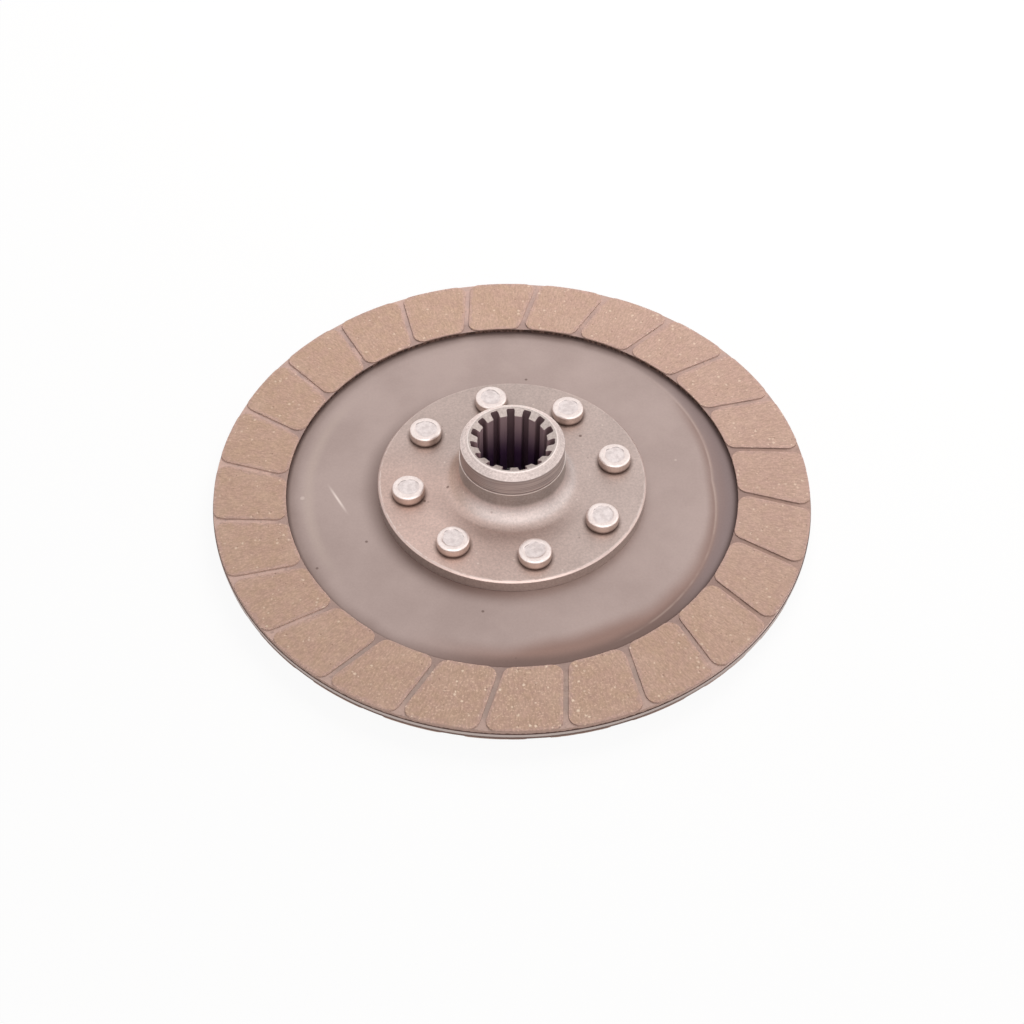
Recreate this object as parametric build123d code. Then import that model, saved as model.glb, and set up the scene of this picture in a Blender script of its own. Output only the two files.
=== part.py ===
from build123d import *
import os
from math import cos, radians, sin

# Rigid clutch disc: a splined hub is riveted to a pressed steel core plate,
# and each side of the plate carries a backing ring set with slanted friction pads.
# Millimetres. The origin is on the axis at the rear end of the hub, +Z towards the long barrel.

# Friction ring
outer_diameter = 225.0
facing_width = 26.4
facing_rim_setback = 0.3
backing_thickness = 1.4
pad_thickness = 0.4
pads_per_side = 24
pad_gap = 1.8
pad_slant_degrees = 12.0
pad_corner_radius = 4.0
pad_first_angle = 3.6

# Core plate, with a shallow pressed step that lifts its middle towards the hub flange
core_thickness = 1.4
plate_step_height = 0.4
plate_step_width = 5.0
plate_step_to_facing = 3.3

# Spline grooves in the hub bore
spline_count = 15
spline_minor_diameter = 26.0
spline_groove_depth = 2.7
spline_groove_width = 2.75
spline_first_angle = 21.0
bore_lead_in = 0.4
bore_mouth_depth = 1.5
bore_mouth_margin = 0.2

# Hub
barrel_wall = 3.75
barrel_turned_length = 9.0
barrel_forged_length = 5.0
barrel_root_radius = 7.5
barrel_lip_flat = 0.8
barrel_lip_chamfer_height = 2.1
forging_allowance = 0.35
flange_thickness = 5.1
flange_edge_chamfer = 0.6
flange_edge_distance = 11.0
boss_wall = 6.3
boss_chamfer = 1.0
boss_stand_off = 2.0
boss_hole_clearance = 0.1

# Hub rivets
rivet_count = 8
rivet_first_angle = 12.4
rivet_root_distance = 12.2
rivet_shank_diameter = 7.5
rivet_hole_clearance = 0.1
rivet_head_diameter = 12.4
rivet_head_height = 4.3
rivet_rear_head_height = 3.0
rivet_rim_chamfer = 0.9
rivet_rim_flat = 0.8
rivet_dish_slope_width = 0.7
rivet_dish_depth = 0.25

# Radii, outwards from the bore
spline_minor_radius = spline_minor_diameter / 2
spline_major_radius = spline_minor_radius + spline_groove_depth
barrel_radius = spline_major_radius + barrel_wall
forged_radius = barrel_radius + forging_allowance
boss_radius = spline_major_radius + boss_wall
bore_mouth_radius = spline_major_radius + bore_mouth_margin
rivet_circle_radius = forged_radius + barrel_root_radius + rivet_root_distance
flange_radius = rivet_circle_radius + flange_edge_distance

# Radii, inwards from the rim
rim_radius = outer_diameter / 2
facing_outer_radius = rim_radius - facing_rim_setback
facing_inner_radius = facing_outer_radius - facing_width
plate_step_outer_radius = facing_inner_radius - plate_step_to_facing
plate_step_inner_radius = plate_step_outer_radius - plate_step_width

# Levels up the axis
plate_back = rivet_rear_head_height + boss_stand_off
plate_front = plate_back + core_thickness
flange_top = plate_front + flange_thickness
root_top = flange_top + barrel_root_radius
turned_foot = root_top + barrel_forged_length
hub_top = turned_foot + barrel_turned_length
rim_back = plate_back - plate_step_height
rim_front = rim_back + core_thickness
rim_middle = (rim_back + rim_front) / 2

pad_pitch_degrees = 360 / pads_per_side


def turned(section):
    """Spin a section drawn in the XZ plane right round the Z axis."""
    return revolve(section, axis=Axis.Z, revolution_arc=360)


def rivet_places():
    return PolarLocations(rivet_circle_radius, rivet_count, start_angle=rivet_first_angle)


def rivet_holes(bottom, top):
    """Drills for the rivet shanks, standing between two levels."""
    hole_radius = rivet_shank_diameter / 2 + rivet_hole_clearance
    drill = Cylinder(hole_radius, top - bottom, align=(Align.CENTER, Align.CENTER, Align.MIN))
    return [Pos(0, 0, bottom) * place * drill for place in rivet_places()]


def hub_section():
    """Half section of the hub blank: rear boss, flange, forged root, turned barrel and coned bore."""
    root_middle = barrel_root_radius * (1 - cos(radians(45)))
    root_foot = (forged_radius + barrel_root_radius, flange_top)
    root_bend = (forged_radius + root_middle, flange_top + root_middle)
    root_head = (forged_radius, root_top)
    below_root = Polyline(
        (spline_minor_radius, bore_lead_in),
        (spline_minor_radius + bore_lead_in, 0),
        (boss_radius - boss_chamfer, 0),
        (boss_radius, boss_chamfer),
        (boss_radius, plate_front),
        (flange_radius, plate_front),
        (flange_radius, flange_top - flange_edge_chamfer),
        (flange_radius - flange_edge_chamfer, flange_top),
        root_foot,
    )
    root = ThreePointArc(root_foot, root_bend, root_head)
    above_root = Polyline(
        root_head,
        (forged_radius, turned_foot),
        (barrel_radius, turned_foot),
        (barrel_radius, hub_top - barrel_lip_chamfer_height),
        (spline_major_radius + barrel_lip_flat, hub_top),
        (bore_mouth_radius, hub_top),
        (spline_minor_radius, hub_top - bore_mouth_depth),
        (spline_minor_radius, bore_lead_in),
    )
    return make_face(Plane.XZ * Wire([*below_root.edges(), *root.edges(), *above_root.edges()]))


def spline_grooves():
    """Parallel-sided grooves broached the length of the bore, with bottoms on the major radius."""
    groove = Pos(spline_major_radius / 2, 0) * Rectangle(spline_major_radius, spline_groove_width)
    pitch = 360 / spline_count
    star = Sketch() + [Rot(0, 0, spline_first_angle + pitch * i) * groove for i in range(spline_count)]
    return extrude(star & Circle(spline_major_radius), hub_top)


def make_hub():
    return turned(hub_section()) - spline_grooves() - rivet_holes(plate_front, flange_top)


def make_core_plate():
    """Sheet of even thickness whose middle is pressed forward by a shallow sloping step."""
    hole_radius = boss_radius + boss_hole_clearance
    section = Polyline(
        (hole_radius, plate_back),
        (plate_step_inner_radius, plate_back),
        (plate_step_outer_radius, rim_back),
        (rim_radius, rim_back),
        (rim_radius, rim_front),
        (plate_step_outer_radius, rim_front),
        (plate_step_inner_radius, plate_front),
        (hole_radius, plate_front),
        close=True,
    )
    return turned(make_face(Plane.XZ * section)) - rivet_holes(plate_back, plate_front)


def rivet_head(seat, height, outward, dish_depth):
    """Half section of a set rivet head with a chamfered rim, flat on top or sunk in the middle."""
    rim = rivet_head_diameter / 2
    dish = rim - rivet_rim_chamfer - rivet_rim_flat
    crown = seat + outward * height
    points = [
        (0, seat),
        (rim, seat),
        (rim, crown - outward * rivet_rim_chamfer),
        (rim - rivet_rim_chamfer, crown),
    ]
    if dish_depth:
        points.append((dish, crown))
        points.append((dish - rivet_dish_slope_width, crown - outward * dish_depth))
    points.append((0, crown - outward * dish_depth))
    return make_face(Plane.XZ * Polyline(*points, close=True))


def make_hub_rivets():
    """Set rivets through the flange and the plate, as separate solids."""
    shank = Cylinder(
        rivet_shank_diameter / 2,
        flange_top - plate_back,
        align=(Align.CENTER, Align.CENTER, Align.MIN),
    )
    rivet = Pos(0, 0, plate_back) * shank
    rivet += turned(rivet_head(flange_top, rivet_head_height, 1, rivet_dish_depth))
    rivet += turned(rivet_head(plate_back, rivet_rear_head_height, -1, 0))
    return Compound(children=[place * rivet for place in rivet_places()])


def make_backing_ring():
    """Flat ring that carries the pads, lying on the front of the plate rim."""
    ring = Circle(facing_outer_radius) - Circle(facing_inner_radius)
    return extrude(Pos(0, 0, rim_front) * ring, backing_thickness)


def joint_line_point(side, along):
    """A point on one long edge of the pad at angle zero: side is -1 or 1, along runs outwards."""
    mean_radius = (facing_outer_radius + facing_inner_radius) / 2
    half_pitch = radians(side * pad_pitch_degrees / 2)
    lean = half_pitch - radians(pad_slant_degrees)
    inset = side * pad_gap / 2
    x = mean_radius * cos(half_pitch) + along * cos(lean) + inset * sin(lean)
    y = mean_radius * sin(half_pitch) + along * sin(lean) - inset * cos(lean)
    return (x, y)


def make_pad():
    """One friction pad at angle zero: a ring sector with slanted ends and round corners."""
    reach = facing_outer_radius - facing_inner_radius
    sector = make_face(Polyline(
        joint_line_point(-1, -reach),
        joint_line_point(-1, reach),
        joint_line_point(1, reach),
        joint_line_point(1, -reach),
        close=True,
    ))
    outline = sector & (Circle(facing_outer_radius) - Circle(facing_inner_radius))
    outline = fillet(outline.vertices(), pad_corner_radius)
    return extrude(Pos(0, 0, rim_front + backing_thickness) * outline, pad_thickness)


def on_the_rear(piece):
    """The same piece turned over onto the rear of the plate rim."""
    return Pos(0, 0, rim_middle) * Rot(180, 0, 0) * Pos(0, 0, -rim_middle) * piece


def make_pieces():
    """Every piece by its node name."""
    ring = make_backing_ring()
    pad = make_pad()
    pieces = {
        "hub": make_hub(),
        "core_plate": make_core_plate(),
        "hub_rivets": make_hub_rivets(),
        "front_backing_ring": ring,
        "rear_backing_ring": on_the_rear(ring),
    }
    for index in range(pads_per_side):
        front_pad = Rot(0, 0, pad_first_angle + index * pad_pitch_degrees) * pad
        pieces[f"front_pad_{index + 1:02d}"] = front_pad
        pieces[f"rear_pad_{index + 1:02d}"] = on_the_rear(front_pad)
    return pieces


os.makedirs("parts", exist_ok=True)
for name, piece in make_pieces().items():
    export_step(piece, f"parts/{name}.step")
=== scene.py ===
from math import atan2, ceil, cos, pi, radians, sin, sqrt, tan
from random import Random

import bmesh
import bpy
from mathutils import Matrix, Vector, noise


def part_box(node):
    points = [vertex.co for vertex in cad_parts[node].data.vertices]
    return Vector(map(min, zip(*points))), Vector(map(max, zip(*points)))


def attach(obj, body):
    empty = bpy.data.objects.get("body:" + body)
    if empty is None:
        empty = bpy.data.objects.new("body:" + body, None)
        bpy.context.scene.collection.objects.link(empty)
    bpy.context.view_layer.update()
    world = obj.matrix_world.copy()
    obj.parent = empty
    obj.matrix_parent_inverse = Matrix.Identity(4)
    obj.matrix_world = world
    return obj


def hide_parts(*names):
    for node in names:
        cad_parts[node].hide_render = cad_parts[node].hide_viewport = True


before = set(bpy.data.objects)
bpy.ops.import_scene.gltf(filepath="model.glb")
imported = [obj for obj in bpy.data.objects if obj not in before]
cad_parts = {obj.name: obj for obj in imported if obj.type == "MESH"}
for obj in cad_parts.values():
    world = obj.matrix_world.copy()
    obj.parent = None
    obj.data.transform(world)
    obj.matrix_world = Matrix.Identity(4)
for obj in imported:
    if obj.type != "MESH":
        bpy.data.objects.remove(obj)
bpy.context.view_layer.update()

# A rigid clutch disc, lying on the rear end of its hub. Metres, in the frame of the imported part.
mm = 0.001


def radial_span(node):
    """Smallest and largest distance of a node's points from the axis."""
    radii = [vertex.co.xy.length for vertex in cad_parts[node].data.vertices]
    return min(radii), max(radii)


def level_span(node):
    """Lowest and highest level of a node."""
    low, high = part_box(node)
    return low.z, high.z


# Sizes that the frame gives
spline_minor_radius, flange_radius = radial_span("hub")
hub_back, hub_top = level_span("hub")
plate_hole_radius, rim_radius = radial_span("core_plate")
rim_back, plate_front = level_span("core_plate")
ring_inner_radius, facing_outer_radius = radial_span("front_backing_ring")
rim_front, backing_front = level_span("front_backing_ring")
pad_face = level_span("front_pad_01")[1]
rivet_back, rivet_top = level_span("hub_rivets")
pads_per_side = sum(name.startswith("front_pad_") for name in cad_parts)
core_thickness = rim_front - rim_back
plate_back = plate_front - core_thickness
rim_middle = (rim_back + rim_front) / 2
facing_mean_radius = (ring_inner_radius + facing_outer_radius) / 2

# Pads, whose compound swells a little past the inner edge of the source's ring
facing_swell = 0.7 * mm
facing_inner_radius = ring_inner_radius - facing_swell
pad_gap = 1.8 * mm
pad_slant = radians(12)
pad_corner_radius = 4.0 * mm
pad_first_angle = radians(3.6)
pad_pitch = 2 * pi / pads_per_side
pad_edge_radius = 0.16 * mm
pad_top_inset = 4 * pad_edge_radius
pad_outline_spacing = 0.7 * mm
pad_wear_size = 3.1 * mm
pad_wear_share = 0.3
pad_chip_size = 1.1 * mm
pad_chip_threshold = 0.35
pad_chip_depth = 0.35 * mm

# Core plate and backing rings
plate_step_width = 5.0 * mm
plate_step_to_facing = 3.3 * mm
plate_bend_radius = 16.0 * mm
plate_edge_radius = 0.2 * mm
backing_edge_radius = 0.15 * mm
backing_raggedness = 0.05 * mm
backing_ragged_size = 2.5 * mm
plate_step_outer_radius = ring_inner_radius - plate_step_to_facing
plate_step_inner_radius = plate_step_outer_radius - plate_step_width

# Hub
spline_count = 15
spline_groove_depth = 2.7 * mm
spline_groove_width = 2.75 * mm
spline_first_angle = radians(21)
spline_corner_radius = 0.3 * mm
bore_lead_in = 0.4 * mm
bore_mouth_depth = 1.5 * mm
bore_mouth_margin = 0.2 * mm
barrel_wall = 3.75 * mm
barrel_turned_length = 9.0 * mm
barrel_root_radius = 7.5 * mm
barrel_lip_flat = 0.8 * mm
barrel_lip_chamfer_height = 2.1 * mm
forging_allowance = 0.35 * mm
relief_depth = 0.12 * mm
relief_height = 0.35 * mm
flange_thickness = 5.1 * mm
flange_edge_chamfer = 0.6 * mm
boss_wall = 6.3 * mm
boss_chamfer = 1.0 * mm
edge_break = 0.14 * mm
lip_edge_break = 0.06 * mm
mouth_shares = (0.02, 0.12, 0.3, 0.5, 0.7, 0.85, 1.0)
spline_major_radius = spline_minor_radius + spline_groove_depth
barrel_radius = spline_major_radius + barrel_wall
forged_radius = barrel_radius + forging_allowance
boss_radius = spline_major_radius + boss_wall
lip_radius = spline_major_radius + barrel_lip_flat
bore_mouth_radius = spline_major_radius + bore_mouth_margin
flange_top = plate_front + flange_thickness
turned_foot = hub_top - barrel_turned_length

# Hub rivets
rivet_count = 8
rivet_first_angle = radians(12.4)
rivet_circle_radius = 39.5 * mm
rivet_shank_diameter = 7.5 * mm
rivet_hole_clearance = 0.1 * mm
rivet_hole_spare = 0.5 * mm
rivet_hole_segments = 64
rivet_head_diameter = 12.2 * mm
rivet_rim_radius = 1.2 * mm
rivet_foot_radius = 0.2 * mm
rivet_rear_foot_radius = 0.1 * mm
rivet_dish_radius = 4.4 * mm
rivet_dish_spread = (0.94, 1.02)
rivet_dish_ovals = (0.02, 0.06)
rivet_dish_raggedness = 0.11
rivet_dish_ragged_size = 2.4 * mm
rivet_dish_slope = 0.65 * mm
rivet_dish_depth = 0.4 * mm
rivet_dish_drift = 0.25 * mm
rivet_hammer_marks = 0.05 * mm
rivet_hammer_mark_size = 1.6 * mm
rivet_runout = 0.012
rivet_runout_size = 4 * mm
rivet_ring_spacing = 0.28 * mm
rivet_segments = 72
rivet_seed = 8

# Stains, marks, painted light and painted shade, in millimetres and radians
# Direction towards which the plate is made lighter, and where its painted shade by the pads is strongest
plate_tone_angle = radians(55)
# Direction of the painted shade and painted brown reflection on the plate's step
shade_and_reflection_angle = radians(320)
# Directions of the painted shade about the plate's ridge and of its painted highlight
ridge_angle = radians(3)
ridge_lit_angle = radians(-8)
ridge_inset = 1.7
ridge_sweep = 6.0
# Direction where the painted brown reflection on the plate's step reaches furthest in
brown_angle = radians(290)
# Direction of the painted shadow round the hub on the plate
hub_shadow_angle = radians(205)
dull_flange_angle = radians(115)
warm_flange_angle = radians(228)
near_angle = radians(265)
# Side where the backing rings' outer walls are darkest: away from it they are painted lighter (painted
# light), and near it the rear ring's wall is painted dark (painted shade)
dark_rim_angle = radians(250)
# With dull_joint_angle, sides where the pad walls are painted paler (painted light against their shade)
pale_joint_angle = radians(195)
dark_joint_angle = radians(348)
dull_joint_angle = radians(55)
sandy_angle = radians(268)
pink_angle = radians(25)
plate_dark_specks = [(-53.5, -27.6), (-70.8, -40.2), (-10.1, -59.7), (5.2, 57.3)]
plate_dark_speck_radius = 0.7
plate_smudges = [((-78.8, -6.4), 1.1), ((62.5, 14.5), 0.6)]
plate_scratch = ((-70.3, 1.5), (-60.6, -15.3))
plate_scratch_half_width = 0.75
hub_dark_marks = [((26.0, 22.0), 0.8), ((-24.1, -5.3), 0.7), ((-32.5, -11.9), 0.7)]

# Fineness of the round shapes
round_step = radians(12)
fewest_round_steps = 4
turned_segments = 360
crease_angle = radians(35)


def polar(radius, angle):
    return Vector((radius * cos(angle), radius * sin(angle)))


def arc(centre, start, end, steps):
    """Points on the shorter arc from start to end about a centre."""
    first = start - centre
    last = end - centre
    turn = atan2(first.x * last.y - first.y * last.x, first.dot(last))
    return [centre + Matrix.Rotation(turn * i / steps, 2) @ first for i in range(steps + 1)]


def rounded(corners):
    """An open path through (x, y, radius) corners, each inner corner rounded to its radius."""
    path = [Vector(corners[0][:2])]
    for before, here, after in zip(corners, corners[1:], corners[2:]):
        corner = Vector(here[:2])
        radius = here[2]
        if radius == 0:
            path.append(corner)
            continue
        back = (Vector(before[:2]) - corner).normalized()
        ahead = (Vector(after[:2]) - corner).normalized()
        half_angle = back.angle(ahead) / 2
        tangent = radius / tan(half_angle)
        centre = corner + (back + ahead).normalized() * radius / sin(half_angle)
        steps = max(fewest_round_steps, ceil((pi - 2 * half_angle) / round_step))
        path += arc(centre, corner + back * tangent, corner + ahead * tangent, steps)
    path.append(Vector(corners[-1][:2]))
    return path


def circle(radius, level, segments=turned_segments):
    """A level ring of points round the axis."""
    return [polar(radius, 2 * pi * i / segments).to_3d() + Vector((0, 0, level)) for i in range(segments)]


def add_object(name, data):
    """A new object in the scene."""
    thing = bpy.data.objects.new(name, data)
    bpy.context.scene.collection.objects.link(thing)
    return thing


def skin_faces(ring_count, ring_size, closed):
    """Faces through equal rings of points: closed joins the two ends, else both are capped."""
    faces = []
    for ring in range(ring_count if closed else ring_count - 1):
        low = ring * ring_size
        high = (ring + 1) % ring_count * ring_size
        for i in range(ring_size):
            j = (i + 1) % ring_size
            faces.append((low + i, low + j, high + j, high + i))
    if not closed:
        faces.append(tuple(range(ring_size)))
        faces.append(tuple(range((ring_count - 1) * ring_size, ring_count * ring_size)))
    return faces


def skin(name, solids, closed):
    """A mesh of one or more solids, each a list of equal rings of points."""
    shape = bmesh.new()
    for rings in solids:
        vertices = [shape.verts.new(point) for ring in rings for point in ring]
        for face in skin_faces(len(rings), len(rings[0]), closed):
            shape.faces.new([vertices[i] for i in face])
    bmesh.ops.recalc_face_normals(shape, faces=shape.faces)
    mesh = bpy.data.meshes.new(name)
    shape.to_mesh(mesh)
    shape.free()
    return add_object(name, mesh)


def dress(piece, node, finish):
    """Smooth a finished piece, give it its material and let it stand for its node."""
    mesh = piece.data
    mesh.polygons.foreach_set("use_smooth", [True] * len(mesh.polygons))
    mesh.set_sharp_from_angle(angle=crease_angle)
    weighting = piece.modifiers.new("Even shading", "WEIGHTED_NORMAL")
    weighting.keep_sharp = True
    mesh.materials.clear()
    mesh.materials.append(finish)
    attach(piece, "root")
    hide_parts(node)


def rivet_places():
    """Centres of the rivets on their circle."""
    pitch = 2 * pi / rivet_count
    return [polar(rivet_circle_radius, rivet_first_angle + pitch * i) for i in range(rivet_count)]


def drill_rivet_holes(piece, bottom, top):
    """Cut the rivet holes through a piece between two levels, and a little past both."""
    radius = rivet_shank_diameter / 2 + rivet_hole_clearance
    levels = (bottom - rivet_hole_spare, top + rivet_hole_spare)
    solids = []
    for place in rivet_places():
        rings = [circle(radius, level, rivet_hole_segments) for level in levels]
        solids.append([[point + place.to_3d() for point in ring] for ring in rings])
    drills = skin("drills", solids, closed=False)
    cut = piece.modifiers.new("Rivet holes", "BOOLEAN")
    cut.object = drills
    cut.operation = "DIFFERENCE"
    cut.solver = "EXACT"
    drilled = piece.evaluated_get(bpy.context.evaluated_depsgraph_get())
    piece.data = bpy.data.meshes.new_from_object(drilled)
    piece.modifiers.clear()
    bpy.data.objects.remove(drills)


# Hub


def spline_outline():
    """The bore's outline: lands on the minor radius, and grooves with parallel sides and broken corners."""
    half_width = spline_groove_width / 2
    land_end = sqrt(spline_minor_radius ** 2 - half_width ** 2)
    floor_end = sqrt(spline_major_radius ** 2 - half_width ** 2)
    land_angle = atan2(half_width, land_end)
    pitch = 2 * pi / spline_count
    land_steps = 8
    land = [
        polar(spline_minor_radius, land_angle + (pitch - 2 * land_angle) * i / land_steps)
        for i in range(1, land_steps)
    ]
    past_corner = 1.2
    before = polar(spline_minor_radius, -land_angle * past_corner)
    groove = rounded([
        (before.x, before.y, 0),
        (land_end, -half_width, spline_corner_radius),
        (floor_end, -half_width, spline_corner_radius),
        (floor_end, half_width, spline_corner_radius),
        (land_end, half_width, spline_corner_radius),
        (before.x, -before.y, 0),
    ])
    outline = []
    for i in range(spline_count):
        turn = Matrix.Rotation(spline_first_angle + pitch * i, 2)
        outline += [turn @ point for point in groove[1:-1] + land]
    return outline


def opened(outline, least, level):
    """The bore's outline where a cone opens its end to at least a given radius."""
    ring = []
    for point in outline:
        radius = max(point.length, least)
        ring.append((point.normalized() * radius).to_3d() + Vector((0, 0, level)))
    return ring


def make_hub():
    """Turned and forged outside, spun round the axis, joined at both ends to the splined bore."""
    path = rounded([
        (lip_radius, hub_back, 0),
        (boss_radius - boss_chamfer, hub_back, edge_break),
        (boss_radius, hub_back + boss_chamfer, edge_break),
        (boss_radius, plate_front, 0),
        (flange_radius, plate_front, edge_break),
        (flange_radius, flange_top - flange_edge_chamfer, edge_break),
        (flange_radius - flange_edge_chamfer, flange_top, edge_break),
        (forged_radius, flange_top, barrel_root_radius),
        (forged_radius, turned_foot, edge_break / 2),
        (barrel_radius - relief_depth, turned_foot, 0),
        (barrel_radius - relief_depth, turned_foot + relief_height, 0),
        (barrel_radius, turned_foot + relief_height + relief_depth, 0),
        (barrel_radius, hub_top - barrel_lip_chamfer_height, edge_break),
        (lip_radius, hub_top, lip_edge_break),
        (bore_mouth_radius, hub_top, 0),
    ])
    outline = spline_outline()
    segments = len(outline)
    turn = Matrix.Rotation(atan2(outline[0].y, outline[0].x), 4, "Z")
    rings = [[turn @ point for point in circle(place.x, place.y, segments)] for place in path]
    mouth_slope = (bore_mouth_radius - spline_minor_radius) / bore_mouth_depth
    for share in mouth_shares:
        depth = bore_mouth_depth * share
        rings.append(opened(outline, bore_mouth_radius - mouth_slope * depth, hub_top - depth))
    rings.append(opened(outline, spline_minor_radius, hub_back + bore_lead_in))
    rings.append(opened(outline, spline_minor_radius + bore_lead_in, hub_back))
    hub = skin("hub_mesh", [rings], closed=True)
    drill_rivet_holes(hub, plate_front, flange_top)
    return hub


# Core plate and backing rings


def spin(name, section, wobble=0.0):
    """A closed section spun round the axis; wobble is how far its walls run out of true."""
    rings = []
    for place in section:
        ring = circle(place.x, place.y)
        for point in ring:
            point.xy += point.xy.normalized() * wobble * unevenness(point, backing_ragged_size)
        rings.append(ring)
    return skin(name, [rings], closed=True)


def unevenness(point, size):
    """A smooth random number between about -1 and 1 that varies over a given size."""
    return noise.noise(point / size)


def make_core_plate():
    """Pressed sheet whose middle is lifted by a shallow step with soft bends."""
    section = rounded([
        ((plate_hole_radius + plate_step_inner_radius) / 2, plate_back, 0),
        (plate_step_inner_radius, plate_back, plate_bend_radius),
        (plate_step_outer_radius, rim_back, plate_bend_radius),
        (rim_radius, rim_back, plate_edge_radius),
        (rim_radius, rim_front, plate_edge_radius),
        (plate_step_outer_radius, rim_front, plate_bend_radius),
        (plate_step_inner_radius, plate_front, plate_bend_radius),
        (plate_hole_radius, plate_front, plate_edge_radius),
        (plate_hole_radius, plate_back, plate_edge_radius),
        ((plate_hole_radius + plate_step_inner_radius) / 2, plate_back, 0),
    ])
    plate = spin("core_plate_mesh", section[:-1])
    drill_rivet_holes(plate, plate_back, plate_front)
    return plate


def on_the_rear(point):
    """The same point turned over onto the rear of the plate rim."""
    return Vector((point.x, -point.y, 2 * rim_middle - point.z))


def make_backing_ring(name, rear):
    """Flat ring of compound that carries the pads, with slightly ragged walls."""
    section = rounded([
        (facing_mean_radius, rim_front, 0),
        (facing_outer_radius, rim_front, backing_edge_radius),
        (facing_outer_radius, backing_front, backing_edge_radius),
        (facing_inner_radius, backing_front, backing_edge_radius),
        (facing_inner_radius, rim_front, backing_edge_radius),
        (facing_mean_radius, rim_front, 0),
    ])
    ring = spin(name, section[:-1], backing_raggedness)
    if rear:
        turn_over(ring)
    return ring


def turn_over(piece):
    """Carry a finished front piece over to the rear."""
    for vertex in piece.data.vertices:
        vertex.co = on_the_rear(vertex.co)


# Pads


def pad_corner(side, rim, centre_radius):
    """A rounded pad corner: its centre, and where it leaves the slanted end and the rim arc."""
    half_pitch = side * pad_pitch / 2
    lean = half_pitch - pad_slant
    along = polar(1, lean)
    inward = Vector((along.y, -along.x)) * side
    start = polar(facing_mean_radius, half_pitch) + inward * (pad_gap / 2 + pad_corner_radius)
    reach = start.dot(along)
    centre = start + along * (sqrt(reach ** 2 - start.length_squared + centre_radius ** 2) - reach)
    return centre, centre - inward * pad_corner_radius, centre.normalized() * rim


def pad_outline():
    """Outline of the pad at angle zero, anticlockwise, with points at an even spacing."""
    inside = facing_inner_radius + pad_corner_radius
    outside = facing_outer_radius - pad_corner_radius
    axis = Vector((0, 0))
    centre_a, end_a, rim_a = pad_corner(-1, facing_inner_radius, inside)
    centre_b, end_b, rim_b = pad_corner(-1, facing_outer_radius, outside)
    centre_c, end_c, rim_c = pad_corner(1, facing_outer_radius, outside)
    centre_d, end_d, rim_d = pad_corner(1, facing_inner_radius, inside)
    stretches = [
        (centre_a, rim_a, end_a),
        (None, end_a, end_b),
        (centre_b, end_b, rim_b),
        (axis, rim_b, rim_c),
        (centre_c, rim_c, end_c),
        (None, end_c, end_d),
        (centre_d, end_d, rim_d),
        (axis, rim_d, rim_a),
    ]
    outline = []
    for centre, start, end in stretches:
        steps = ceil((end - start).length / pad_outline_spacing)
        if centre is None:
            outline += [start.lerp(end, i / steps) for i in range(steps)]
        else:
            outline += arc(centre, start, end, steps)[:-1]
    return outline


def outward_normals(outline):
    normals = []
    for before, after in zip(outline[-1:] + outline[:-1], outline[1:] + outline[:1]):
        along = (after - before).normalized()
        normals.append(Vector((along.y, -along.x)))
    return normals


def make_pad(name, angle, rear):
    """One friction pad with a worn, slightly chipped top edge."""
    outline = pad_outline()
    normals = outward_normals(outline)
    quarter = pi / 2
    edge = [(backing_front, 0.0)]
    for i in range(fewest_round_steps + 1):
        bend = quarter * i / fewest_round_steps
        edge.append((pad_face - pad_edge_radius * (1 - sin(bend)), pad_edge_radius * (1 - cos(bend))))
    edge.append((pad_face, pad_top_inset))
    turn = Matrix.Rotation(angle, 2)
    rings = []
    for level, inset in edge:
        height = (level - backing_front) / (pad_face - backing_front)
        ring = []
        for point, normal in zip(outline, normals):
            spot = (turn @ point).to_3d()
            worn = max(0.0, unevenness(spot, pad_wear_size)) * pad_wear_share
            chipped = max(0.0, unevenness(spot, pad_chip_size) - pad_chip_threshold)
            place = point - normal * (inset + pad_chip_depth * (worn + chipped) * height)
            ring.append((turn @ place).to_3d() + Vector((0, 0, level)))
        rings.append(ring)
    pad = skin(name, [rings], closed=False)
    if rear:
        turn_over(pad)
    return pad


# Rivets


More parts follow.
